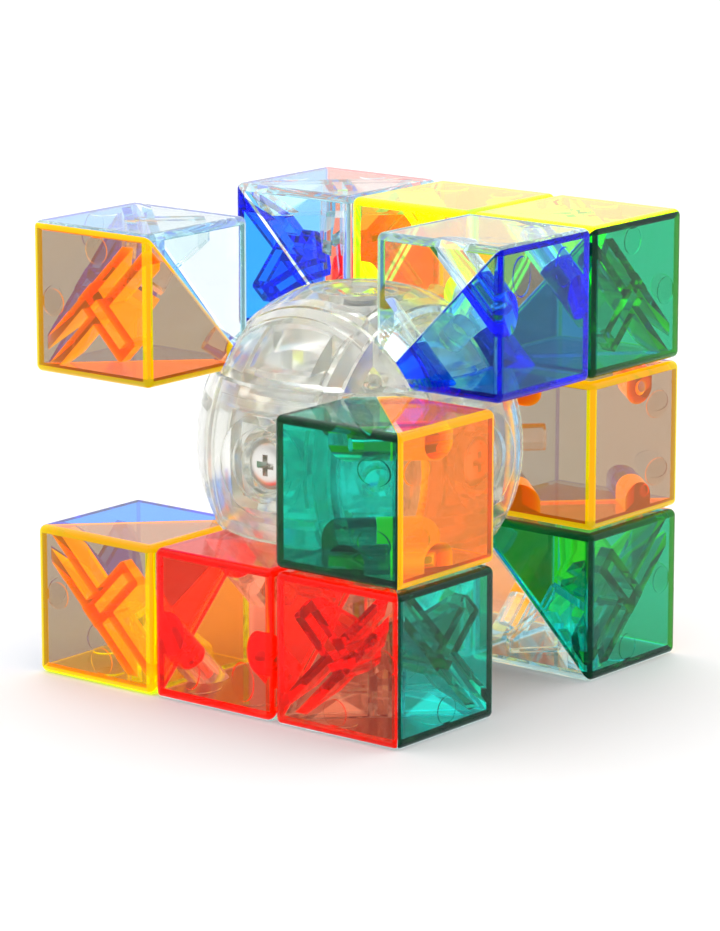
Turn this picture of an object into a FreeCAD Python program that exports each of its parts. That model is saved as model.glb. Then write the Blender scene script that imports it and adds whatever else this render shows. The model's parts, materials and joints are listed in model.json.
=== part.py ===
import FreeCAD, Part
import math
import os

from FreeCAD import Matrix, Placement, Vector

# A see-through three-layer twisting puzzle, partly stripped: a clear ball of 26 sliding
# segments on a six-armed core, with tinted hollow cubes on twelve of the segments.
# Millimetres, +Z up, origin at the middle of the core.

# ---- Cubes -------------------------------------------------------------------------
LAYER_PITCH = 19.0          # from the middle of one layer to the middle of the next
LAYER_GAP = 0.4             # daylight between two layers
SHELL_WALL = 1.1            # wall of a tinted shell
SHELL_ROUND = 0.9           # rounding along a shell's edges
SHELL_SEAM = 0.1            # daylight between two shells of one cube
RIB_WIDTH = 1.2             # one of the two stiffening ribs of a corner shell
RIB_SPACING = 1.3           # daylight between those ribs
RIB_HEIGHT = 3.0            # how far they stand off the wall
CLIP_WIDTH = 3.7            # slotted loop that crosses the ribs towards the cube's inner corner
CLIP_ROUND = 0.5            # rounding of the loop's four upright edges
CLIP_START = -2.0           # its outer end, measured from the middle of the face
CLIP_END = 7.9              # its inner end
CLIP_PROFILE = ((-2.0, 9.0), (1.6, 9.0), (3.6, 5.2), (7.9, 1.5))   # position, height off the wall
CLIP_SLOT_START = 0.0
CLIP_SLOT_END = 6.6
CLIP_SLOT_WIDTH = 1.3
PIN_MARK_DIAMETER = 3.4     # round marks that the ejector pins leave inside a wall
PIN_MARK_HEIGHT = 0.15
PIN_MARK_NEAR = 8.8         # a corner shell's marks, from one inner edge of the cube
PIN_MARK_FAR = 16.0         # and from the other
PIN_MARK_POSITION = 3.75    # an edge shell's marks, from the cube's outer edge along the seam
PIN_MARK_INSET = 5.0        # and from the end of the cube
BOSS_WIDTH = 3.8            # half-round bosses that pin the two shells of an edge cube together
BOSS_REACH = 3.2            # how far a boss stands off the end wall
BOSS_POSITIONS = (6.6, 20.2)    # from the cube's outer edge to each boss, along the seam
DOWEL_DIAMETER = 1.5        # pin in the first boss at one end of a shell
DOWEL_LENGTH = 3.6
DOWEL_HOLE_DIAMETER = 1.8   # hole for the other shell's pin, at the other end
DOWEL_HOLE_DEPTH = 4.4

# ---- Ball --------------------------------------------------------------------------
BALL_CORNER_DEPTH = 3.7     # from where three layer gaps cross out to the ball's surface
ROOF_THICKNESS = 2.1        # outer skin of every segment
TRACK_GAP = 0.3             # between a roof and the foot that slides under it
TRACK_HALF_WIDTH = 6.0      # a foot reaches this far in under its neighbour's roof
FOOT_DEPTH = 8.5            # from the ball's surface in to a foot's inner side
SEGMENT_WALL = 1.2          # walls of the hollow segments
STEM_DIAMETER = 3.4         # post that carries the shells of a cube
STEM_REACH = 3.0            # how far it stands out of the ball
STEM_CLEARANCE = 0.2
SEGMENT_POST_DIAMETER = 2.2 # moulded post inside a corner segment
RIM_WIDTH = 1.4             # raised rim along the seams round a centre cap
RIM_HEIGHT = 0.15

# ---- Core, screws and springs ------------------------------------------------------
CORE_BALL_RADIUS = 6.4
CORE_ARM_DIAMETER = 7.4
CORE_CLEARANCE = 0.6        # between the end of an arm and the feet
SCREW_DIAMETER = 3.0
SCREW_TIP = 5.2             # distance of the tip from the middle of the core
SCREW_HEAD_DIAMETER = 6.4
SCREW_HEAD_HEIGHT = 1.9
SCREW_HEAD_SINK = 2.1       # from the ball's surface down to the head's top
SCREW_HEAD_ROUND = 0.6
CROSS_SPAN = 2.7
CROSS_WIDTH = 0.75
CROSS_DEPTH = 1.1
TURN_CLEARANCE = 0.3        # between a cap and the screw it turns on
SPRING_INSET = 0.5          # how far the spring stays in from the head's edge
SPRING_WALL = 0.6
SPRING_SEAT_HEIGHT = 0.9    # from a foot's inner side up to the spring's inner end
SPRING_END_CLEARANCE = 0.1
HEAD_CLEARANCE = 0.3        # between the head and the well in a cap that it sits in
WELL_WALL = 1.2
DISH_DIAMETER = 12.6        # shallow stepped dish round the well
DISH_DEPTH = 1.3            # from the ball's surface down to its floor
STEP_DIAMETER = 9.2
STEP_DEPTH = 1.8

# ---- Worked out from the above -----------------------------------------------------
LAYER_PLANE = LAYER_PITCH / 2
CUBE_INNER = LAYER_PLANE + LAYER_GAP / 2
CUBE_OUTER = 1.5 * LAYER_PITCH
CUBE_MIDDLE = (CUBE_INNER + CUBE_OUTER) / 2
EDGE_CUBE_HALF = LAYER_PLANE - LAYER_GAP / 2
BALL_RADIUS = CUBE_INNER * math.sqrt(3) + BALL_CORNER_DEPTH
ROOF_INNER_RADIUS = BALL_RADIUS - ROOF_THICKNESS
FOOT_OUTER_RADIUS = ROOF_INNER_RADIUS - TRACK_GAP
FOOT_INNER_RADIUS = BALL_RADIUS - FOOT_DEPTH
ROOF_NEAR = LAYER_PLANE + LAYER_GAP / 2
ROOF_HALF = LAYER_PLANE - LAYER_GAP / 2
FOOT_NEAR = TRACK_HALF_WIDTH + LAYER_GAP / 2
FOOT_HALF = TRACK_HALF_WIDTH - LAYER_GAP / 2
CORE_ARM_REACH = FOOT_INNER_RADIUS - CORE_CLEARANCE
SCREW_HEAD_TOP = BALL_RADIUS - SCREW_HEAD_SINK
SCREW_HEAD_UNDERSIDE = SCREW_HEAD_TOP - SCREW_HEAD_HEIGHT
SPRING_OUTER_DIAMETER = SCREW_HEAD_DIAMETER - 2 * SPRING_INSET
SPRING_SEAT = FOOT_INNER_RADIUS + SPRING_SEAT_HEIGHT
WELL_DIAMETER = SCREW_HEAD_DIAMETER + 2 * HEAD_CLEARANCE
DISH_FLOOR = BALL_RADIUS - DISH_DEPTH
STEP_FLOOR = BALL_RADIUS - STEP_DEPTH
BEYOND = 2 * CUBE_OUTER     # safely outside everything

ORIGIN = Vector(0, 0, 0)
X_AXIS = Vector(1, 0, 0)
Y_AXIS = Vector(0, 1, 0)
Z_AXIS = Vector(0, 0, 1)
UNIT = (X_AXIS, Y_AXIS, Z_AXIS)
CORNER_DIAGONAL = Vector(1, 1, 1)
EDGE_DIAGONAL = Vector(1, 1, 0)

# A cell is the layer that a piece is in along x, y and z.
LAYER_NAMES = ({-1: "left", 0: "", 1: "right"},
               {-1: "front", 0: "", 1: "rear"},
               {-1: "bottom", 0: "middle", 1: "top"})

CORNER_CUBES = ((-1, 1, 1), (1, 1, 1), (1, -1, 1), (-1, 1, -1), (-1, -1, -1), (1, -1, -1))
BARE_CORNERS = ((-1, -1, 1), (1, 1, -1))
EDGE_CUBES = ((0, -1, 1), (1, 0, 1), (-1, -1, 0), (1, -1, 0), (-1, 0, -1), (1, 0, -1))
BARE_EDGES = ((-1, 0, 1), (0, 1, 1), (-1, 1, 0), (1, 1, 0), (0, -1, -1), (0, 1, -1))
CAP_CELLS = ((1, 0, 0), (-1, 0, 0), (0, 1, 0), (0, -1, 0), (0, 0, 1), (0, 0, -1))


# ---- Small helpers -----------------------------------------------------------------
def span_box(xs, ys, zs):
    """A box between two limits along each axis."""
    sizes = [high - low for low, high in (xs, ys, zs)]
    return Part.makeBox(sizes[0], sizes[1], sizes[2], Vector(xs[0], ys[0], zs[0]))


def ball(radius):
    """A whole sphere round the middle of the core."""
    return Part.makeSphere(radius)


def post(diameter, start, end):
    """A round bar between two points."""
    axis = end - start
    return Part.makeCylinder(diameter / 2, axis.Length, start, axis)


def along(direction, distance):
    """The point at a distance from the middle of the core."""
    return Vector(direction).normalize() * distance


def prism(points, start, reach):
    """A flat outline in the xy plane, stood up along z."""
    corners = [Vector(x, y, start) for x, y in points]
    outline = Part.makePolygon(corners + corners[:1])
    return Part.Face(outline).extrude(Vector(0, 0, reach))


def placed(shape, forward, sideways, third):
    """Turn a shape so that its own x, y and z run along three given directions."""
    turn = Matrix(forward.x, sideways.x, third.x, 0,
                  forward.y, sideways.y, third.y, 0,
                  forward.z, sideways.z, third.z, 0,
                  0, 0, 0, 1)
    piece = shape.copy()
    piece.Placement = Placement(turn)
    return piece


def cell_name(cell):
    """A cell's name, such as top_front_left."""
    words = [LAYER_NAMES[2][cell[2]], LAYER_NAMES[1][cell[1]], LAYER_NAMES[0][cell[0]]]
    return "_".join(word for word in words if word)


def face_axes(cell):
    """The axes along which a cell reaches the outside."""
    return [axis for axis in range(3) if cell[axis]]


def in_cell(shape, cell, first):
    """Turn a piece from its home cell into another, with its own x outward along one axis."""
    order = sorted(range(3), key=lambda axis: (axis != first, cell[axis] == 0))
    forward, sideways, third = [UNIT[axis] * (cell[axis] or 1) for axis in order]
    left_handed = forward.cross(sideways).dot(third) < 0
    if left_handed and cell[order[2]]:
        sideways, third = third, sideways
    elif left_handed:
        third = third * -1
    return placed(shape, forward, sideways, third)


# ---- Tinted shells -----------------------------------------------------------------
def hollow_block(xs, ys, zs):
    """A closed cube with rounded edges and one wall thickness."""
    solid = span_box(xs, ys, zs)
    outer = solid.makeFillet(SHELL_ROUND, solid.Edges)
    inside = [(low + SHELL_WALL, high - SHELL_WALL) for low, high in (xs, ys, zs)]
    return outer.cut(span_box(*inside))


def wedge(set_back):
    """All of the space where x is greater than y, less a set-back from that plane."""
    shift = set_back * math.sqrt(2)
    outline = [(shift, 0), (BEYOND + shift, 0), (BEYOND + shift, BEYOND)]
    return prism(outline, -BEYOND, 2 * BEYOND)


def turned_wedge(set_back):
    """All of the space where x is greater than z, less the same set-back."""
    piece = wedge(set_back)
    piece.rotate(ORIGIN, X_AXIS, 90)
    return piece


def corner_share(set_back):
    """A third of a corner cube: the pyramid from its inner corner to the +x face."""
    return wedge(set_back).common(turned_wedge(set_back))


def on_face(shape):
    """Set a shape down on the inside of the +x face.

    Its own x is the depth below the wall, y runs across the face's diagonal, and z along
    the diagonal from the middle of the face towards the cube's inner corner.
    """
    across = Vector(0, 1, -1).normalize()
    piece = placed(shape, X_AXIS * -1, across, across.cross(X_AXIS))
    piece.translate(Vector(CUBE_OUTER - SHELL_WALL, CUBE_MIDDLE, CUBE_MIDDLE))
    return piece


def ribs():
    """The two ribs across the diagonal of the +x face."""
    half_length = (CUBE_OUTER - CUBE_INNER) / math.sqrt(2)
    pair = []
    for side in (-1, 1):
        middle = side * (RIB_WIDTH + RIB_SPACING) / 2
        span = (middle - RIB_WIDTH / 2, middle + RIB_WIDTH / 2)
        pair.append(on_face(span_box((-SHELL_WALL / 2, RIB_HEIGHT), (-half_length, half_length), span)))
    return pair


def clip():
    """Slotted loop that falls away in height towards the cube's inner corner."""
    root = -SHELL_WALL / 2
    tallest = max(height for position, height in CLIP_PROFILE)
    loop = span_box((root, tallest), (-CLIP_WIDTH / 2, CLIP_WIDTH / 2), (CLIP_START, CLIP_END))
    upright = [edge for edge in loop.Edges if edge.BoundBox.XLength > tallest]
    loop = loop.makeFillet(CLIP_ROUND, upright)
    outline = [(CLIP_END, root), (CLIP_START, root)] + list(CLIP_PROFILE)
    corners = [Vector(height, -CLIP_WIDTH, position) for position, height in outline]
    side_view = Part.Face(Part.makePolygon(corners + corners[:1]))
    return on_face(loop.common(side_view.extrude(Y_AXIS * (2 * CLIP_WIDTH))))


def clip_slot():
    """Slot through the loop and the ribs, down to the wall."""
    half_width = CLIP_SLOT_WIDTH / 2
    return on_face(span_box((0, CUBE_OUTER), (-half_width, half_width), (CLIP_SLOT_START, CLIP_SLOT_END)))


def wall_skin():
    """The inside of the +x face, from its ejector marks down into the wall."""
    wall_inside = CUBE_OUTER - SHELL_WALL
    return span_box((wall_inside - PIN_MARK_HEIGHT, wall_inside + SHELL_WALL / 2), *[(-BEYOND, BEYOND)] * 2)


def corner_shell():
    """One of the three equal shells of a corner cube, facing +x."""
    side = (CUBE_INNER, CUBE_OUTER)
    share = corner_share(SHELL_SEAM / 2)
    walls = hollow_block(side, side, side).common(share)
    half_wall = SHELL_WALL / 2
    beside = (CUBE_INNER + half_wall, CUBE_OUTER)
    inside = span_box((CUBE_INNER + half_wall, CUBE_OUTER - half_wall), beside, beside)
    room = corner_share(half_wall).common(inside)
    details = clip().multiFuse(ribs()).cut(clip_slot()).common(room)
    near, far = CUBE_INNER + PIN_MARK_NEAR, CUBE_INNER + PIN_MARK_FAR
    skin = wall_skin().common(share)
    marks = [post(PIN_MARK_DIAMETER, Vector(0, y, z), Vector(CUBE_OUTER, y, z)).common(skin)
             for y, z in ((near, far), (far, near))]
    shell = walls.multiFuse([details] + marks)
    stem_way = post(STEM_DIAMETER + 2 * STEM_CLEARANCE, ORIGIN,
                    along(CORNER_DIAGONAL, BALL_RADIUS + STEM_REACH + STEM_CLEARANCE))
    return shell.cut(ball(BALL_RADIUS)).cut(stem_way).removeSplitter()


def at_seam(shape):
    """Set a shape down in an edge cube, with its own z along the cube.

    Its own x runs down the seam from the cube's outer edge, and its own y square to the
    seam, into the shell that faces +x.
    """
    inward = Vector(-1, -1, 0).normalize()
    across = Vector(1, -1, 0).normalize()
    piece = placed(shape, inward, across, inward.cross(across))
    piece.translate(Vector(CUBE_OUTER, CUBE_OUTER, 0))
    return piece


def boss(position, end):
    """Half-round boss on one end wall, from the seam outwards; end is +1 or -1."""
    root = EDGE_CUBE_HALF - SHELL_WALL / 2
    eye = boss_eye()
    block = span_box((position - BOSS_WIDTH / 2, position + BOSS_WIDTH / 2), (0, CUBE_OUTER),
                     sorted((end * eye, end * root)))
    nose = post(BOSS_WIDTH, Vector(position, 0, end * eye), Vector(position, CUBE_OUTER, end * eye))
    return at_seam(block.fuse(nose))


def boss_eye():
    """Height of a boss's own axis above the middle of an edge cube."""
    return EDGE_CUBE_HALF - SHELL_WALL - BOSS_REACH + BOSS_WIDTH / 2


def dowel(diameter, start, reach, end):
    """Round bar on the first boss's axis, between two distances from the seam."""
    position, eye = BOSS_POSITIONS[0], end * boss_eye()
    return at_seam(post(diameter, Vector(position, start, eye), Vector(position, reach, eye)))


def edge_shell():
    """One of the two equal shells of an edge cube, facing +x, with the seam at x = y."""
    side = (CUBE_INNER, CUBE_OUTER)
    ends = (-EDGE_CUBE_HALF, EDGE_CUBE_HALF)
    walls = hollow_block(side, side, ends).common(wedge(SHELL_SEAM / 2))
    half_wall = SHELL_WALL / 2
    inside = (CUBE_INNER + half_wall, CUBE_OUTER - half_wall)
    room = wedge(SHELL_SEAM / 2).common(span_box(inside, inside, ends))
    bosses = [boss(position, end).common(room) for position in BOSS_POSITIONS for end in (-1, 1)]
    mark_z = EDGE_CUBE_HALF - PIN_MARK_INSET
    marks = [at_seam(post(PIN_MARK_DIAMETER, Vector(PIN_MARK_POSITION, SHELL_SEAM / 2, z),
                          Vector(PIN_MARK_POSITION, CUBE_OUTER, z))).common(wall_skin())
             for z in (-mark_z, mark_z)]
    pin = dowel(DOWEL_DIAMETER, -DOWEL_LENGTH, half_wall, -1)
    hole = dowel(DOWEL_HOLE_DIAMETER, 0, DOWEL_HOLE_DEPTH, 1)
    shell = walls.multiFuse(bosses + marks + [pin]).cut(hole)
    stem_way = post(STEM_DIAMETER + 2 * STEM_CLEARANCE, ORIGIN,
                    along(EDGE_DIAGONAL, BALL_RADIUS + STEM_REACH + STEM_CLEARANCE))
    return shell.cut(ball(BALL_RADIUS)).cut(stem_way).removeSplitter()


# ---- Ball segments -----------------------------------------------------------------
def zone(spans, inner_radius, outer_radius):
    """The part of a box that lies between two spheres."""
    return span_box(*spans).common(ball(outer_radius)).cut(ball(inner_radius))


def rim_pocket(spans):
    """What a raised rim stands above: the outer skin between the rims."""
    return span_box(*spans).cut(ball(BALL_RADIUS - RIM_HEIGHT))


def corner_segment():
    """Corner of the ball in its home cell (+x, +y, +z): roof, neck and hollow foot."""
    roof = zone([(ROOF_NEAR, BEYOND)] * 3, FOOT_OUTER_RADIUS - SEGMENT_WALL, BALL_RADIUS)
    foot_spans = [(FOOT_NEAR, BEYOND)] * 3
    foot = zone(foot_spans, FOOT_INNER_RADIUS, FOOT_OUTER_RADIUS)
    hollow = span_box(*[(FOOT_NEAR + SEGMENT_WALL, BEYOND)] * 3)
    hollow = hollow.common(ball(FOOT_OUTER_RADIUS - SEGMENT_WALL))
    inner_post = post(SEGMENT_POST_DIAMETER, along(CORNER_DIAGONAL, FOOT_INNER_RADIUS + SEGMENT_WALL),
                      along(CORNER_DIAGONAL, FOOT_OUTER_RADIUS)).common(span_box(*foot_spans))
    return roof.fuse(foot).cut(hollow).fuse(inner_post).removeSplitter()


def edge_segment():
    """Edge of the ball in its home cell (+x, +y): roof, neck and hollow foot."""
    roof_spans = [(ROOF_NEAR, BEYOND), (ROOF_NEAR, BEYOND), (-ROOF_HALF, ROOF_HALF)]
    neck_spans = [(ROOF_NEAR, BEYOND), (ROOF_NEAR, BEYOND), (-FOOT_HALF, FOOT_HALF)]
    foot_spans = [(FOOT_NEAR, BEYOND), (FOOT_NEAR, BEYOND), (-FOOT_HALF, FOOT_HALF)]
    roof = zone(roof_spans, ROOF_INNER_RADIUS, BALL_RADIUS)
    neck = zone(neck_spans, FOOT_INNER_RADIUS, BALL_RADIUS)
    foot = zone(foot_spans, FOOT_INNER_RADIUS, FOOT_OUTER_RADIUS)
    inner_half = FOOT_HALF - SEGMENT_WALL
    low_room = span_box(*[(FOOT_NEAR + SEGMENT_WALL, BEYOND)] * 2, (-inner_half, inner_half))
    high_room = span_box(*[(ROOF_NEAR + SEGMENT_WALL, BEYOND)] * 2, (-inner_half, inner_half))
    hollow = low_room.common(ball(FOOT_OUTER_RADIUS - SEGMENT_WALL))
    hollow = hollow.fuse(high_room.common(ball(BALL_RADIUS - SEGMENT_WALL)))
    pocket = rim_pocket([(ROOF_NEAR + RIM_WIDTH, BEYOND)] * 2 + [(-BEYOND, BEYOND)])
    return roof.multiFuse([neck, foot]).cut(hollow).cut(pocket).removeSplitter()


def with_stem(segment, direction):
    """Add the post that carries a cube's shells."""
    start = along(direction, BALL_RADIUS - SEGMENT_WALL)
    return segment.fuse(post(STEM_DIAMETER, start, along(direction, BALL_RADIUS + STEM_REACH)))


def centre_cap():
    """Middle cap of one side, facing +x: dished roof, hollow foot, and a well for its screw."""
    roof = zone([(0, BEYOND)] + [(-ROOF_HALF, ROOF_HALF)] * 2, ROOF_INNER_RADIUS, BALL_RADIUS)
    foot = zone([(FOOT_NEAR, BEYOND)] + [(-FOOT_HALF, FOOT_HALF)] * 2, FOOT_INNER_RADIUS, BALL_RADIUS)
    inner_half = FOOT_HALF - SEGMENT_WALL
    hollow = span_box((0, BEYOND), *[(-inner_half, inner_half)] * 2)
    hollow = hollow.common(ball(ROOF_INNER_RADIUS - SEGMENT_WALL))
    well_floor = SPRING_SEAT - SPRING_END_CLEARANCE
    well_body = post(WELL_DIAMETER + 2 * WELL_WALL, X_AXIS * (well_floor - WELL_WALL), X_AXIS * STEP_FLOOR)
    cap = roof.fuse(foot).cut(hollow).fuse(well_body.cut(ball(FOOT_INNER_RADIUS)))
    between_rims = ROOF_HALF - RIM_WIDTH
    cap = cap.cut(rim_pocket([(0, BEYOND)] + [(-between_rims, between_rims)] * 2))
    cap = cap.cut(post(DISH_DIAMETER, X_AXIS * DISH_FLOOR, X_AXIS * BEYOND))
    cap = cap.cut(post(STEP_DIAMETER, X_AXIS * STEP_FLOOR, X_AXIS * BEYOND))
    cap = cap.cut(post(WELL_DIAMETER, X_AXIS * well_floor, X_AXIS * BEYOND))
    cap = cap.cut(post(SCREW_DIAMETER + 2 * TURN_CLEARANCE, ORIGIN, X_AXIS * BEYOND))
    return cap.removeSplitter()


# ---- Core, screws and springs ------------------------------------------------------
def core():
    """Six-armed core with a blind hole in each arm."""
    arms = [post(CORE_ARM_DIAMETER, ORIGIN, direction * CORE_ARM_REACH)
            for axis in UNIT for direction in (axis, axis * -1)]
    holes = [post(SCREW_DIAMETER, direction * SCREW_TIP, direction * BEYOND)
             for axis in UNIT for direction in (axis, axis * -1)]
    return ball(CORE_BALL_RADIUS).multiFuse(arms).cut(holes[0].multiFuse(holes[1:])).removeSplitter()


def screw():
    """Pan-head screw along +x with a cross recess."""
    head = post(SCREW_HEAD_DIAMETER, X_AXIS * SCREW_HEAD_UNDERSIDE, X_AXIS * SCREW_HEAD_TOP)
    rim = [edge for edge in head.Edges if edge.CenterOfMass.x > SCREW_HEAD_TOP - SCREW_HEAD_ROUND / 2]
    head = head.makeFillet(SCREW_HEAD_ROUND, [edge for edge in rim if edge.Closed])
    shank = post(SCREW_DIAMETER, X_AXIS * SCREW_TIP, X_AXIS * (SCREW_HEAD_TOP - SCREW_HEAD_HEIGHT / 2))
    depth = (SCREW_HEAD_TOP - CROSS_DEPTH, BEYOND)
    long_way, short_way = (-CROSS_SPAN / 2, CROSS_SPAN / 2), (-CROSS_WIDTH / 2, CROSS_WIDTH / 2)
    cross = span_box(depth, long_way, short_way).fuse(span_box(depth, short_way, long_way))
    return head.fuse(shank).cut(cross).removeSplitter()


def spring():
    """Envelope of the coil spring between the well floor and the screw head, along +x."""
    start = X_AXIS * SPRING_SEAT
    end = X_AXIS * SCREW_HEAD_UNDERSIDE
    tube = post(SPRING_OUTER_DIAMETER, start, end)
    return tube.cut(post(SPRING_OUTER_DIAMETER - 2 * SPRING_WALL, start, end))


# ---- Put every piece in its cell ---------------------------------------------------
def build():
    """Every node of the puzzle, by name."""
    nodes = {}
    homes = {"corner": corner_segment(), "edge": edge_segment(), "cap": centre_cap()}
    stemmed = {"corner": with_stem(homes["corner"], CORNER_DIAGONAL),
               "edge": with_stem(homes["edge"], EDGE_DIAGONAL)}
    shells = {"corner": corner_shell(), "edge": edge_shell()}
    kinds = (("corner", CORNER_CUBES, BARE_CORNERS), ("edge", EDGE_CUBES, BARE_EDGES))
    for kind, cubes, bare in kinds:
        for cell in cubes:
            name = f"{cell_name(cell)}_{kind}"
            nodes[f"{name}_foot"] = in_cell(stemmed[kind], cell, face_axes(cell)[0])
            for axis in face_axes(cell):
                nodes[f"{name}_{'xyz'[axis]}_shell"] = in_cell(shells[kind], cell, axis)
        for cell in bare:
            nodes[f"{cell_name(cell)}_{kind}_segment"] = in_cell(homes[kind], cell, face_axes(cell)[0])
    for cell in CAP_CELLS:
        nodes[f"{cell_name(cell)}_centre_cap"] = in_cell(homes["cap"], cell, face_axes(cell)[0])
    nodes["core"] = core()
    for name, piece in (("cap_screws", screw()), ("cap_springs", spring())):
        copies = [in_cell(piece, cell, face_axes(cell)[0]) for cell in CAP_CELLS]
        nodes[name] = Part.makeCompound(copies)
    return nodes


os.makedirs("parts", exist_ok=True)
for node, shape in build().items():
    shape.exportStep(f"parts/{node}.step")
    print(node, "volume", round(shape.Volume, 1), "solids", len(shape.Solids), "valid", shape.isValid())
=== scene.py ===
# %% [markdown]
# # A see-through ball puzzle
#
# The object is a three-layer twisting puzzle in clear plastic. A ball of sliding segments
# sits on a six-armed core, and hollow tinted cubes stand on some of the segments. Every
# piece is an injection moulding, apart from six steel screws and their springs.
#
# The CAD model already has every moulding at its true size, so it is loaded first and kept
# as a fixed frame. What this lesson adds is what the eye needs: welded, smooth surfaces that
# bend light the way polished plastic does, tints that deepen along a wall, real springs and
# screws, and a soft studio.

# %% Load the frame
import bmesh
import bpy
import json
import math
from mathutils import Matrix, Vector


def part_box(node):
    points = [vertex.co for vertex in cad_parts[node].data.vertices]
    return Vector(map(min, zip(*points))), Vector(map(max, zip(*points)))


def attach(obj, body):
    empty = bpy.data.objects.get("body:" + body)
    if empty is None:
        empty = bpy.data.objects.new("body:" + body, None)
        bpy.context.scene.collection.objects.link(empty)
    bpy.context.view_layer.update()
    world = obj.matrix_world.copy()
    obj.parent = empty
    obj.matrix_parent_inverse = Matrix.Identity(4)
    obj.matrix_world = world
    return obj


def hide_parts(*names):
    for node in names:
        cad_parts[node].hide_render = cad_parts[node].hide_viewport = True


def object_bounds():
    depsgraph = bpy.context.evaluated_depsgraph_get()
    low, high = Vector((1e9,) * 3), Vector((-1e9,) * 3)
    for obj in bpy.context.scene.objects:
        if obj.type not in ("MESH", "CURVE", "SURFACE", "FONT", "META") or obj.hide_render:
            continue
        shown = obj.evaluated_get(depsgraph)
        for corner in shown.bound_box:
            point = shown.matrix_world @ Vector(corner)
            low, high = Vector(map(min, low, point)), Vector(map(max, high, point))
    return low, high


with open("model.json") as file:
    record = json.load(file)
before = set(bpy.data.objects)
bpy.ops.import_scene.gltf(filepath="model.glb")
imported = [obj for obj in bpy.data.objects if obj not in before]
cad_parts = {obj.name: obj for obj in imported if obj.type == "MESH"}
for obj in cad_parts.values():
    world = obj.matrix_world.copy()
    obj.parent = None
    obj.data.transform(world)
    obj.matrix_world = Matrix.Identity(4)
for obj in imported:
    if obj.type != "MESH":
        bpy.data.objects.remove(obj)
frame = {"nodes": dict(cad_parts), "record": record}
cad_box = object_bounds()
MM = 0.001
print(len(frame["nodes"]), "CAD pieces in the frame")

# %% [markdown]
# ## Measures that the looks need
#
# The wall of a shell decides how strong each dye must be, because a tint is light that the
# plastic takes out per millimetre. Screws and springs stand on six arms round the middle of
# the core, so how far out each kind reaches is measured from the CAD piece that it stands for,
# and the rest are the sizes of an ordinary 3 mm pan-head screw.

# %% Measures
SHELL_WALL = 1.1 * MM
HEAD_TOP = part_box("cap_screws")[1].z
SPRING_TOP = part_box("cap_springs")[1].z
print("screw heads end", round(HEAD_TOP / MM, 2), "mm from the middle of the core")


# %% [markdown]
# ## Two small helpers
#
# Colours are written as the hex values that a colour chart shows. Blender's shaders work in
# linear light, so one function turns the one into the other. The second helper adds a node
# to a tree, sets it and wires it up, for materials and for geometry alike.

# %% Helpers
def linear(colour):
    """Linear red, green and blue of an sRGB hex colour such as "F2A03C"."""
    parts = [int(colour[i:i + 2], 16) / 255 for i in (0, 2, 4)]
    return [part / 12.92 if part <= 0.04045 else ((part + 0.055) / 1.055) ** 2.4
            for part in parts]


def add_node(tree, kind, settings=None, **inputs):
    """Add a node with its settings, values and links.

    An input is named as its socket is, with _ for each space, or _0, _1 and so on for its
    place among the sockets. It is given a value, or another node's output to link to.
    """
    node = tree.nodes.new(kind)
    for name, value in (settings or {}).items():
        setattr(node, name, value)
    for name, value in inputs.items():
        number = name[1:]
        socket = node.inputs[int(number) if number.isdigit() else name.replace("_", " ")]
        if isinstance(value, bpy.types.NodeSocket):
            tree.links.new(value, socket)
        else:
            socket.default_value = value
    return node


def new_material(name):
    """An empty node material and its tree."""
    material = bpy.data.materials.new(name)
    material.use_nodes = True
    material.node_tree.nodes.clear()
    return material, material.node_tree


print("pure white is", linear("FFFFFF"))


# %% [markdown]
# ## Dyed clear plastic
#
# Clear ABS is polished by the steel of its mould, so its surface is a mirror with a very
# faint ripple where the melt flowed. Its dye sits inside the plastic: one wall looks pale,
# and the long way down a wall or along a rib looks deep. A coloured glass surface would tint
# every wall the same, so the tint goes in the volume instead. The dye's strength is worked
# out from the colour that white light has after one wall.
#
# Orange, yellow and red dyes also fluoresce, and the others scatter a trace of light. A flat
# wall traps that light and lets it out at its cut edges, ribs and bosses, which is why those
# shine while the wall stays pale. Here that shine is painted light: a glow that those faces
# emit whatever light falls on them. All the dyes look deep and full there, because the eye
# looks down the length of a wall, and that depth is painted too, as a deeper base colour on
# those faces. Each moulding carries a per-face mask of where light is painted: 0 on its flat
# walls, 1 on its outside edges and half of that on the ribs and bosses inside. The painted
# deeper colour is mixed from it, and a ramp turns it into the painted glow.

# %% Clear ABS
ABS_IOR = 1.54
REFLECTED_SHARE = 0.25
MELT_RIPPLE = 5 * MM
RIPPLE_HEIGHT = 0.05 * MM
RIPPLE_STRENGTH = 0.05
POLISH_MARKS = 2 * MM
ROUGHEST_POLISH = 0.05
# Share of the painted glow and painted deeper colour on the ribs and bosses inside, and the middle
# stop of the glow ramp.
INSIDE_PAINTED_LIGHT_SHARE = 0.5
BLACKEST = 1e-4


def dye(through_wall):
    """Colour and density of a volume that turns white light into this colour in one wall."""
    losses = [-math.log(max(part, BLACKEST)) / SHELL_WALL for part in linear(through_wall)]
    density = max(losses)
    return [1 - loss / density for loss in losses] + [1], density


# The third colour is the painted deeper colour at cut edges, and the last three are the painted
# glow of walls, ribs and edges.
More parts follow.
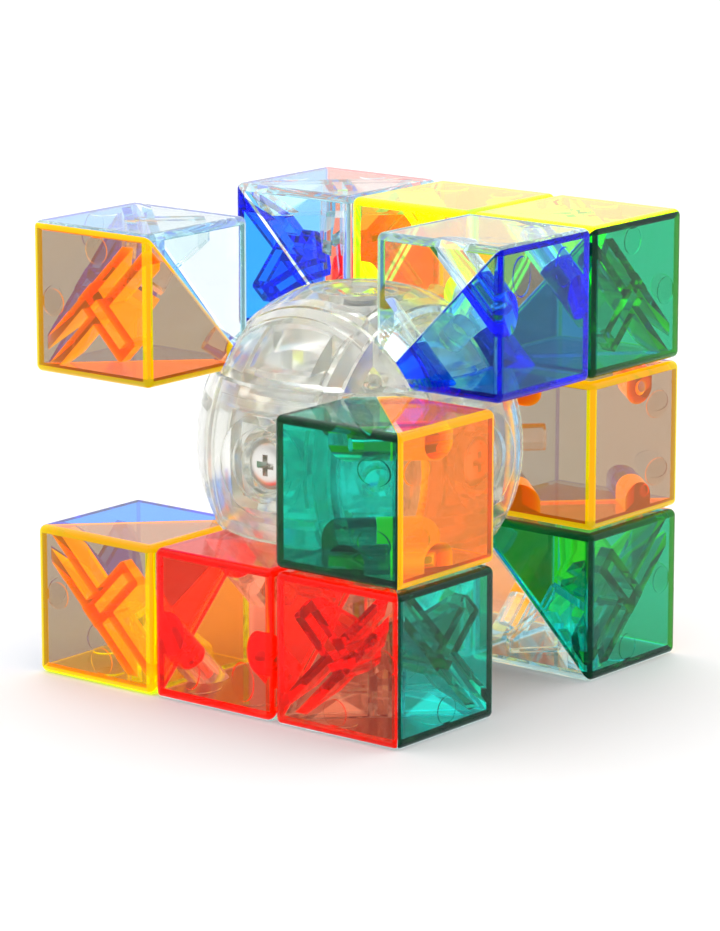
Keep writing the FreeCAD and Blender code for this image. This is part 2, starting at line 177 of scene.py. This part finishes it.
def clear_abs(name, through_wall, edge, painted_glows):
    """Polished plastic with its dye in the volume, and a painted deeper colour and painted glow at
    its cut edges.
    """
    material, tree = new_material(name)
    place = add_node(tree, "ShaderNodeTexCoord")
    ripple = add_node(tree, "ShaderNodeTexNoise", Vector=place.outputs["Object"],
                      Scale=1 / MELT_RIPPLE, Detail=1.0)
    bump = add_node(tree, "ShaderNodeBump", Strength=RIPPLE_STRENGTH, Distance=RIPPLE_HEIGHT,
                    Height=ripple.outputs["Fac"])
    haze = add_node(tree, "ShaderNodeTexNoise", Vector=place.outputs["Object"],
                    Scale=1 / POLISH_MARKS, Detail=3.0)
    roughness = add_node(tree, "ShaderNodeMapRange", Value=haze.outputs["Fac"], To_Min=0.0,
                         To_Max=ROUGHEST_POLISH)
    # A per-face mask of where light is painted on this plastic: deeper colour and glow at cut
    # edges, ribs and bosses.
    edges = add_node(tree, "ShaderNodeAttribute", {"attribute_name": "painted_light_mask"})
    # Painted deeper colour: white on flat walls and the edge colour on cut edges, standing in for
    # light's long path down a wall.
    depth = add_node(tree, "ShaderNodeMix", {"data_type": "RGBA"}, _0=edges.outputs["Fac"],
                     _6=(1, 1, 1, 1), _7=linear(edge) + [1])
    # Painted glow: the mask through a ramp, emitted whatever light falls on the face.
    painted_glow_ramp = add_node(tree, "ShaderNodeValToRGB", Fac=edges.outputs["Fac"])
    painted_glow_ramp.color_ramp.elements.new(INSIDE_PAINTED_LIGHT_SHARE)
    for stop, shade in zip(painted_glow_ramp.color_ramp.elements, painted_glows):
        stop.color = linear(shade) + [1]
    surface = add_node(tree, "ShaderNodeBsdfPrincipled", Base_Color=depth.outputs[2],
                       IOR=ABS_IOR, Transmission_Weight=1.0,
                       Specular_Tint=[REFLECTED_SHARE] * 3 + [1],
                       Roughness=roughness.outputs["Result"], Normal=bump.outputs["Normal"],
                       Emission_Color=painted_glow_ramp.outputs["Color"], Emission_Strength=1.0)
    colour, density = dye(through_wall)
    volume = add_node(tree, "ShaderNodeVolumeAbsorption", Color=colour, Density=density)
    add_node(tree, "ShaderNodeOutputMaterial", Surface=surface.outputs[0],
             Volume=volume.outputs[0])
    print(name, "takes out", round(density * MM, 2), "per mm at most")
    return material


# Each slot's material, its colour after one wall, its painted deeper colour at a cut edge, and
# the painted glow of its walls, its ribs and its edges.
DYES = {
    "orange_shell_plastic": ("fluorescent_orange_clear_abs", "F4A88A", "FFD800",
                             ("685000", "B8AC00", "B4B000")),
    "blue_shell_plastic": ("blue_clear_abs", "80D4FF", "6C8CE8",
                           ("000A2E", "00103C", "00062E")),
    "green_shell_plastic": ("green_clear_abs", "20F0E4", "5CB4B4",
                            ("001616", "001C1C", "000C10")),
    "red_shell_plastic": ("red_clear_abs", "FC9470", "F06C60",
                          ("500800", "500800", "801000")),
    "yellow_shell_plastic": ("fluorescent_yellow_clear_abs", "FAFFB4", "F4FF80",
                             ("2C3000", "687000", "909C00")),
    "clear_shell_plastic": ("undyed_clear_abs", "F5F9FA", "F6FBFB",
                            ("060707", "303434", "7C8484")),
}
PLASTICS = {slot: clear_abs(*recipe) for slot, recipe in DYES.items()}


# %% [markdown]
# ## Milky ball plastic
#
# The ball's segments slide on each other, so they are moulded in a tougher, greased plastic
# that is a little milky. Some of the light scatters back as white and the rest passes with
# soft edges, which hides the far side of the ball. A true scattering volume would need very
# many light paths, so the surface does both: most of it is softly polished and a small part
# is a white diffuser, and a faint painted white glow stands in for the light that the milk
# scatters. Grease fills the gaps between the segments, so a wall bends light less than one in
# air does, and the haze varies slowly, as grease does where two pieces rubbed.

# %% Ball plastic
GREASED_IOR = 1.34
MILKINESS = 0.05
GREASE_PATCHES = 4 * MM
GREASE_ROUGHNESS = (0.04, 0.2)


def milky_abs(name, through_wall, painted_milk_glow):
    """See-through plastic that scatters part of the light, with a faint painted white glow."""
    material, tree = new_material(name)
    place = add_node(tree, "ShaderNodeTexCoord")
    grease = add_node(tree, "ShaderNodeTexNoise", Vector=place.outputs["Object"],
                      Scale=1 / GREASE_PATCHES, Detail=4.0)
    slick, dull = GREASE_ROUGHNESS
    roughness = add_node(tree, "ShaderNodeMapRange", Value=grease.outputs["Fac"],
                         To_Min=slick, To_Max=dull)
    bump = add_node(tree, "ShaderNodeBump", Strength=RIPPLE_STRENGTH, Distance=RIPPLE_HEIGHT,
                    Height=grease.outputs["Fac"])
    # The emission is a painted glow that stands in for light scattered inside the plastic.
    surface = add_node(tree, "ShaderNodeBsdfPrincipled", Base_Color=(1, 1, 1, 1),
                       IOR=GREASED_IOR, Transmission_Weight=1 - MILKINESS,
                       Roughness=roughness.outputs["Result"], Normal=bump.outputs["Normal"],
                       Emission_Color=linear(painted_milk_glow) + [1], Emission_Strength=1.0)
    colour, density = dye(through_wall)
    volume = add_node(tree, "ShaderNodeVolumeAbsorption", Color=colour, Density=density)
    add_node(tree, "ShaderNodeOutputMaterial", Surface=surface.outputs[0],
             Volume=volume.outputs[0])
    return material


# The last colour is the painted white glow of the milky plastic.
PLASTICS["clear_ball_plastic"] = milky_abs("milky_clear_abs", "FEFEFD", "282A28")
print(len(PLASTICS), "plastics")


# %% [markdown]
# ## Nickel-plated steel and spring wire
#
# The screws are steel under a thin coat of nickel, slightly warm and softly reflective, with
# fine marks from the heading tool. The springs are drawn wire: darker, and scratched along
# its length by the die.

# %% Metals
HEADING_MARKS = 0.3 * MM
DIE_SCRATCHES = 0.15 * MM


def bare_steel(name, colour, smoothest, roughest, grain):
    """Bare metal whose roughness varies between two values over one grain size."""
    material, tree = new_material(name)
    place = add_node(tree, "ShaderNodeTexCoord")
    marks = add_node(tree, "ShaderNodeTexNoise", Vector=place.outputs["Object"],
                     Scale=1 / grain, Detail=4.0)
    roughness = add_node(tree, "ShaderNodeMapRange", Value=marks.outputs["Fac"],
                         To_Min=smoothest, To_Max=roughest)
    surface = add_node(tree, "ShaderNodeBsdfPrincipled", Base_Color=linear(colour) + [1],
                       Metallic=1.0, Roughness=roughness.outputs["Result"])
    add_node(tree, "ShaderNodeOutputMaterial", Surface=surface.outputs[0])
    return material


NICKEL = bare_steel("nickel_plated_steel", "E6E4DE", 0.2, 0.42, HEADING_MARKS)
WIRE = bare_steel("drawn_spring_wire", "A9ABAD", 0.2, 0.4, DIE_SCRATCHES)
print("metals:", NICKEL.name, WIRE.name)


# %% [markdown]
# ## Mouldings with smooth surfaces
#
# The CAD pieces come as loose flat triangles. Seen through glass-clear plastic, each flat
# would bend light its own way and the ball would look cut like a gem. A copy is welded and
# shaded smooth instead, with a crease wherever two faces really meet at an angle. Normals
# are weighted by area, so that a rounded edge doesn't bend the flat wall beside it.
#
# A flat wall of a cube lies on a side of the moulding's own box, or one wall's thickness in
# from it, with round ejector marks a little further in. Every other face is a cut edge, a
# rounding, a rib or a boss. The ones deep inside the cube get less of the painted glow and
# painted deeper colour than the ones along its outside.

# %% Mouldings
WELD = 0.002 * MM
CREASE = math.radians(25)
PIN_MARK_HEIGHT = 0.15 * MM
FLAT_DEPTHS = (0, SHELL_WALL, SHELL_WALL + PIN_MARK_HEIGHT)
ON_PLANE = 0.02 * MM
SQUARE = 0.999
SLOTS = {part["node"]: part["material_slot"] for part in frame["record"]["subparts"]}


def painted_light_share(face, box):
    """How much of the trapped light is painted on a face as glow and deeper colour: none on a flat
    wall, all on an outside edge.
    """
    corner = face.verts[0].co
    depths = {axis: [abs(corner[axis] - side[axis]) for side in box] for axis in range(3)}
    for axis in range(3):
        if abs(face.normal[axis]) > SQUARE:
            if any(abs(depth - flat) < ON_PLANE for depth in depths[axis] for flat in FLAT_DEPTHS):
                return 0.0
    nearest_side = min(min(pair) for pair in depths.values())
    return 1.0 if nearest_side < SHELL_WALL + ON_PLANE else INSIDE_PAINTED_LIGHT_SHARE


def moulding(node, body):
    """A welded, smooth copy of a CAD piece in its own plastic, in place of that piece."""
    mesh = frame["nodes"][node].data.copy()
    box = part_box(node)
    shape = bmesh.new()
    shape.from_mesh(mesh)
    bmesh.ops.remove_doubles(shape, verts=shape.verts, dist=WELD)
    shape.normal_update()
    # Each face gets its share of painted light, glow and deeper colour, and none on flat walls.
    painted_light_mask = shape.faces.layers.float.new("painted_light_mask")
    for face in shape.faces:
        face.smooth = True
        face[painted_light_mask] = painted_light_share(face, box)
    for edge in shape.edges:
        edge.smooth = edge.calc_face_angle(math.pi) < CREASE
    open_edges = sum(1 for edge in shape.edges if not edge.is_manifold)
    shape.to_mesh(mesh)
    shape.free()
    mesh.materials.clear()
    mesh.materials.append(PLASTICS[SLOTS[node]])
    piece = bpy.data.objects.new(node + "_moulding", mesh)
    bpy.context.scene.collection.objects.link(piece)
    weighted = piece.modifiers.new("flat walls stay flat", "WEIGHTED_NORMAL")
    weighted.keep_sharp = True
    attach(piece, body)
    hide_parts(node)
    return open_edges


METAL_NODES = ("cap_screws", "cap_springs")
leaks = {}
for body, members in frame["record"]["behaviour"]["bodies"].items():
    for node in members:
        if node not in METAL_NODES:
            leaks[node] = moulding(node, body)
print(len(leaks), "mouldings, and those with open edges:",
      {node: count for node, count in leaks.items() if count})

# %% [markdown]
# ## Things that stand on the six arms
#
# The same screw and the same spring stand on each arm of the core. Modelling them six times
# would be six chances of a mistake, so a Geometry Nodes tree puts one on each face of a small
# cube: a face's middle, seen from the centre, is the direction of its arm. The tree's sizes
# are named inputs, and its result becomes one plain mesh for the core's body.

# %% Trees and their results
def new_tree(name, sizes):
    """A geometry tree with a named input for each size, and the node that holds its inputs."""
    tree = bpy.data.node_groups.new(name, "GeometryNodeTree")
    tree.interface.new_socket("Geometry", in_out="OUTPUT", socket_type="NodeSocketGeometry")
    tree.interface.new_socket("Geometry", in_out="INPUT", socket_type="NodeSocketGeometry")
    for size in sizes:
        tree.interface.new_socket(size, in_out="INPUT", socket_type="NodeSocketFloat")
    return tree, tree.nodes.new("NodeGroupInput")


def on_six_arms(tree, piece, distance, material):
    """Copy a piece onto the six arms, at a distance from the middle, and end the tree."""
    across = add_node(tree, "ShaderNodeMath", {"operation": "MULTIPLY"}, _0=distance, _1=2.0)
    cube = add_node(tree, "GeometryNodeMeshCube", Size=across.outputs[0])
    arms = add_node(tree, "GeometryNodeMeshToPoints", {"mode": "FACES"}, Mesh=cube.outputs["Mesh"])
    place = add_node(tree, "GeometryNodeInputPosition")
    turn = add_node(tree, "FunctionNodeAlignRotationToVector", {"axis": "Z"},
                    Vector=place.outputs[0])
    copies = add_node(tree, "GeometryNodeInstanceOnPoints", Points=arms.outputs[0],
                      Instance=piece, Rotation=turn.outputs[0])
    real = add_node(tree, "GeometryNodeRealizeInstances", Geometry=copies.outputs[0])
    painted = add_node(tree, "GeometryNodeSetMaterial", Geometry=real.outputs[0], Material=material)
    add_node(tree, "NodeGroupOutput", Geometry=painted.outputs[0])


def grow(name, tree, sizes, template=None):
    """Run a tree with its sizes, and keep the result as the plain mesh of a new piece."""
    piece = bpy.data.objects.new(name, template or bpy.data.meshes.new(name))
    bpy.context.scene.collection.objects.link(piece)
    modifier = piece.modifiers.new(name, "NODES")
    modifier.node_group = tree
    for socket in tree.interface.items_tree:
        if socket.in_out == "INPUT" and socket.name in sizes:
            modifier[socket.identifier] = sizes[socket.name]
    graph = bpy.context.evaluated_depsgraph_get()
    mesh = bpy.data.meshes.new_from_object(piece.evaluated_get(graph), depsgraph=graph)
    piece.modifiers.clear()
    piece.data = mesh
    print(name, "has", len(mesh.polygons), "faces")
    return piece


# %% [markdown]
# ## Coil springs
#
# A spring under each screw head presses its cap onto the ball. It is a helix of round wire,
# so a spiral curve with a round section gives it exactly. A tube with a striped picture on it
# would show no gaps, and the light between the coils is what gives a spring away.

# %% Springs
WIRE_RADIUS = 0.3 * MM
SPRING_RADIUS = 2.7 * MM
SPRING_LENGTH = 3.6 * MM
SPRING_TURNS = 4.25
STEPS_PER_COIL = 36
WIRE_SIDES = 12
spring_sizes = {
    "Wire Radius": WIRE_RADIUS,
    "Coil Radius": SPRING_RADIUS - WIRE_RADIUS,
    "Turns": SPRING_TURNS,
    "Rise": SPRING_LENGTH - 2 * WIRE_RADIUS,
    "Inner End": SPRING_TOP - SPRING_LENGTH + WIRE_RADIUS,
}
tree, inputs = new_tree("coil_spring", spring_sizes)
helix = add_node(tree, "GeometryNodeCurveSpiral", Resolution=STEPS_PER_COIL,
                 Rotations=inputs.outputs["Turns"], Height=inputs.outputs["Rise"],
                 Start_Radius=inputs.outputs["Coil Radius"],
                 End_Radius=inputs.outputs["Coil Radius"])
section = add_node(tree, "GeometryNodeCurvePrimitiveCircle", Resolution=WIRE_SIDES,
                   Radius=inputs.outputs["Wire Radius"])
wire = add_node(tree, "GeometryNodeCurveToMesh", Curve=helix.outputs[0],
                Profile_Curve=section.outputs[0], Fill_Caps=True)
on_six_arms(tree, wire.outputs[0], inputs.outputs["Inner End"], WIRE)
springs = grow("coil_springs", tree, spring_sizes)
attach(springs, "core")
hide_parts("cap_springs")


# %% [markdown]
# ## Pan-head screws
#
# A pan head is a disc with a low dome and a cross recess that narrows towards its bottom. The
# outline from the tip of the shank to the top of the dome is turned on a lathe, which is the
# real way too, and two tapered bars cut the recess. The thread is a helix with a sharp
# section, wound in the tree.

# %% One screw's body
HEAD_RADIUS = 3.2 * MM
HEAD_HEIGHT = 1.9 * MM
HEAD_RIM = 0.7 * MM
SHANK_RADIUS = 1.25 * MM
SCREW_TIP = 5.2 * MM
POINT_LENGTH = 1.2 * MM
DOME_FULLNESS = 0.5
DOME_STEPS = 10
LATHE_STEPS = 48
HEAD_AT = HEAD_TOP - SCREW_TIP


def screw_outline():
    """Distance from the axis and height above the tip, from the point to the top of the dome."""
    underside = HEAD_AT - HEAD_HEIGHT
    dome_foot = underside + HEAD_RIM
    outline = [(0, 0), (SHANK_RADIUS / 2, POINT_LENGTH / 4), (SHANK_RADIUS, POINT_LENGTH),
               (SHANK_RADIUS, underside), (HEAD_RADIUS, underside)]
    for step in range(DOME_STEPS):
        angle = math.radians(90) * step / DOME_STEPS
        outline.append((HEAD_RADIUS * math.cos(angle) ** DOME_FULLNESS,
                        dome_foot + (HEAD_AT - dome_foot) * math.sin(angle)))
    return outline + [(0, HEAD_AT)]


def turned(outline):
    """A closed shape with this outline, turned about Z."""
    shape = bmesh.new()
    corners = [shape.verts.new((radius, 0, height)) for radius, height in outline]
    line = [shape.edges.new(pair) for pair in zip(corners, corners[1:])]
    bmesh.ops.spin(shape, geom=corners + line, axis=(0, 0, 1), cent=(0, 0, 0),
                   angle=math.tau, steps=LATHE_STEPS, use_merge=True)
    bmesh.ops.remove_doubles(shape, verts=shape.verts, dist=WELD)
    bmesh.ops.recalc_face_normals(shape, faces=shape.faces)
    mesh = bpy.data.meshes.new("screw_body")
    shape.to_mesh(mesh)
    shape.free()
    return mesh


RECESS_DEPTH = 1.3 * MM
RECESS_TOP = (2.9 * MM, 0.85 * MM)
RECESS_BOTTOM = (1.1 * MM, 0.45 * MM)
PAST_THE_DOME = 0.2 * MM
RECTANGLE = ((-1, -1), (1, -1), (1, 1), (-1, 1))


def recess_bar(turn):
    """Tapered bar, narrower at its bottom, that cuts one slot of the cross."""
    shape = bmesh.new()
    rings = []
    for (length, width), height in ((RECESS_BOTTOM, HEAD_AT - RECESS_DEPTH),
                                    (RECESS_TOP, HEAD_AT + PAST_THE_DOME)):
        if turn:
            length, width = width, length
        rings.append([shape.verts.new((x * length / 2, y * width / 2, height))
                      for x, y in RECTANGLE])
    bottom, top = rings
    shape.faces.new(bottom)
    shape.faces.new(top)
    for here in range(len(RECTANGLE)):
        there = (here + 1) % len(RECTANGLE)
        shape.faces.new((bottom[here], bottom[there], top[there], top[here]))
    bmesh.ops.recalc_face_normals(shape, faces=shape.faces)
    mesh = bpy.data.meshes.new("recess_bar")
    shape.to_mesh(mesh)
    shape.free()
    return bpy.data.objects.new("recess_bar", mesh)


blank = bpy.data.objects.new("screw_body", turned(screw_outline()))
bars = [recess_bar(turn) for turn in (False, True)]
for item in [blank] + bars:
    bpy.context.scene.collection.objects.link(item)
for bar in bars:
    cut = blank.modifiers.new("cross recess", "BOOLEAN")
    cut.operation = "DIFFERENCE"
    cut.object = bar
graph = bpy.context.evaluated_depsgraph_get()
screw_body = bpy.data.meshes.new_from_object(blank.evaluated_get(graph), depsgraph=graph)
for item in [blank] + bars:
    bpy.data.objects.remove(item)
print("one screw's body has", len(screw_body.polygons), "faces")

# %% Six threaded screws
THREAD_PITCH = 1.0 * MM
THREAD_LENGTH = 6.0 * MM
THREAD_DEPTH = 0.3 * MM
STEPS_PER_THREAD = 24
CREST_SIDES = 4
screw_sizes = {
    "Thread Radius": SHANK_RADIUS,
    "Thread Depth": THREAD_DEPTH,
    "Turns": THREAD_LENGTH / THREAD_PITCH,
    "Thread Length": THREAD_LENGTH,
    "Thread Start": POINT_LENGTH,
    "Inner End": SCREW_TIP,
}
tree, inputs = new_tree("pan_head_screw", screw_sizes)
helix = add_node(tree, "GeometryNodeCurveSpiral", Resolution=STEPS_PER_THREAD,
                 Rotations=inputs.outputs["Turns"], Height=inputs.outputs["Thread Length"],
                 Start_Radius=inputs.outputs["Thread Radius"],
                 End_Radius=inputs.outputs["Thread Radius"])
upright = add_node(tree, "GeometryNodeSetCurveNormal", {"mode": "Z_UP"}, Curve=helix.outputs[0])
section = add_node(tree, "GeometryNodeCurvePrimitiveCircle", Resolution=CREST_SIDES,
                   Radius=inputs.outputs["Thread Depth"])
crest = add_node(tree, "GeometryNodeCurveToMesh", Curve=upright.outputs[0],
                 Profile_Curve=section.outputs[0], Fill_Caps=True)
lift = add_node(tree, "ShaderNodeCombineXYZ", Z=inputs.outputs["Thread Start"])
thread = add_node(tree, "GeometryNodeTransform", Geometry=crest.outputs[0],
                  Translation=lift.outputs[0])
whole = add_node(tree, "GeometryNodeJoinGeometry", Geometry=inputs.outputs["Geometry"])
tree.links.new(thread.outputs[0], whole.inputs[0])
on_six_arms(tree, whole.outputs[0], inputs.outputs["Inner End"], NICKEL)
screws = grow("pan_head_screws", tree, screw_sizes, screw_body)
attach(screws, "core")
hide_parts("cap_screws")

# %% Smooth metal
for piece in (springs, screws):
    piece.data.shade_smooth()
    piece.data.set_sharp_from_angle(angle=CREASE)
    print(piece.name, "spans", [round(value / MM, 2) for value in piece.dimensions], "mm")


# %% [markdown]
# ## The studio
#
# Clear plastic shows its surroundings, so the light is most of the look. A white floor and a
# white room keep the tints clean. The room darkens a little towards the camera, which draws
# the grey lines that make clear edges readable, and a ceiling panel whitens the floor. The
# floor lies a hair below the cubes, because two surfaces in exactly the same place flicker.

# %% The floor
FLOOR_RADIUS = 4.0
FLOOR_SIDES = 96
FLOOR_GAP = 0.05 * MM
PAPER_FIBRE = 1 * MM
floor_height = cad_box[0][2] - FLOOR_GAP
bpy.ops.mesh.primitive_circle_add(vertices=FLOOR_SIDES, radius=FLOOR_RADIUS, fill_type="NGON",
                                  location=(0, 0, floor_height))
floor = bpy.context.object
floor.name = "studio_floor"
white_paper, tree = new_material("white_paper_sweep")
place = add_node(tree, "ShaderNodeTexCoord")
fibre = add_node(tree, "ShaderNodeTexNoise", Vector=place.outputs["Object"],
                 Scale=1 / PAPER_FIBRE)
roughness = add_node(tree, "ShaderNodeMapRange", Value=fibre.outputs["Fac"], To_Min=0.6,
                     To_Max=0.8)
paper = add_node(tree, "ShaderNodeBsdfPrincipled", Base_Color=linear("FDFDFD") + [1],
                 Roughness=roughness.outputs["Result"])
add_node(tree, "ShaderNodeOutputMaterial", Surface=paper.outputs[0])
floor.data.materials.append(white_paper)
print("floor at", round(floor_height / MM, 2), "mm")

# %% The room
CAMERA_AZIMUTH = math.radians(-51.3)
CAMERA_ELEVATION = math.radians(12.3)
towards_camera = Vector((math.sin(CAMERA_AZIMUTH) * math.cos(CAMERA_ELEVATION),
                         -math.cos(CAMERA_AZIMUTH) * math.cos(CAMERA_ELEVATION),
                         math.sin(CAMERA_ELEVATION)))
BACK_LIGHT = 1.0
FRONT_LIGHT = 0.5
CEILING_LIGHT = 1.0
LIGHT_FADES_FROM = -0.2
LIGHT_FADES_TO = 0.9
CEILING_STARTS = 0.5

world = bpy.data.worlds.new("soft_room")
world.use_nodes = True
tree = world.node_tree
tree.nodes.clear()
place = add_node(tree, "ShaderNodeTexCoord")
facing = add_node(tree, "ShaderNodeVectorMath", {"operation": "DOT_PRODUCT"},
                  _0=place.outputs["Generated"], _1=tuple(towards_camera))
walls = add_node(tree, "ShaderNodeMapRange", {"interpolation_type": "SMOOTHSTEP"},
                 Value=facing.outputs["Value"], From_Min=LIGHT_FADES_FROM,
                 From_Max=LIGHT_FADES_TO, To_Min=BACK_LIGHT, To_Max=FRONT_LIGHT)
direction = add_node(tree, "ShaderNodeSeparateXYZ", Vector=place.outputs["Generated"])
ceiling = add_node(tree, "ShaderNodeMapRange", Value=direction.outputs["Z"],
                   From_Min=CEILING_STARTS, From_Max=1.0, To_Min=0.0, To_Max=CEILING_LIGHT)
total = add_node(tree, "ShaderNodeMath", {"operation": "ADD"}, _0=walls.outputs["Result"],
                 _1=ceiling.outputs["Result"])
background = add_node(tree, "ShaderNodeBackground", Color=(1, 1, 1, 1),
                      Strength=total.outputs[0])
add_node(tree, "ShaderNodeOutputWorld", Surface=background.outputs[0])
bpy.context.scene.world = world
print("room light goes from", BACK_LIGHT, "behind the puzzle to", FRONT_LIGHT, "in front")

# %% [markdown]
# ## The camera
#
# A long lens from a little above keeps the cubes' edges almost parallel. Light crosses
# dozens of plastic walls before it comes out, so paths get many bounces, or the middle of the
# puzzle would go black.

# %% Camera
CAMERA_DISTANCE = 0.523
LENS_LENGTH = 162.5
SENSOR_WIDTH = 36.0
LENS_SHIFT = -0.027
lens = bpy.data.cameras.new("studio_camera")
lens.lens = LENS_LENGTH
lens.sensor_width = SENSOR_WIDTH
lens.shift_y = LENS_SHIFT
camera = bpy.data.objects.new("studio_camera", lens)
camera.location = towards_camera * CAMERA_DISTANCE
camera.rotation_euler = towards_camera.to_track_quat("Z", "Y").to_euler()
bpy.context.scene.collection.objects.link(camera)
bpy.context.scene.camera = camera

PLASTIC_WALLS = 64
REFLECTIONS = 16
BRIGHTEST_STRAY_LIGHT = 8.0
scene = bpy.context.scene
scene.view_settings.view_transform = "Standard"
scene.cycles.max_bounces = PLASTIC_WALLS
scene.cycles.transmission_bounces = PLASTIC_WALLS
scene.cycles.glossy_bounces = REFLECTIONS
scene.cycles.diffuse_bounces = REFLECTIONS
scene.cycles.sample_clamp_indirect = BRIGHTEST_STRAY_LIGHT
print("camera at", [round(value, 3) for value in camera.location])
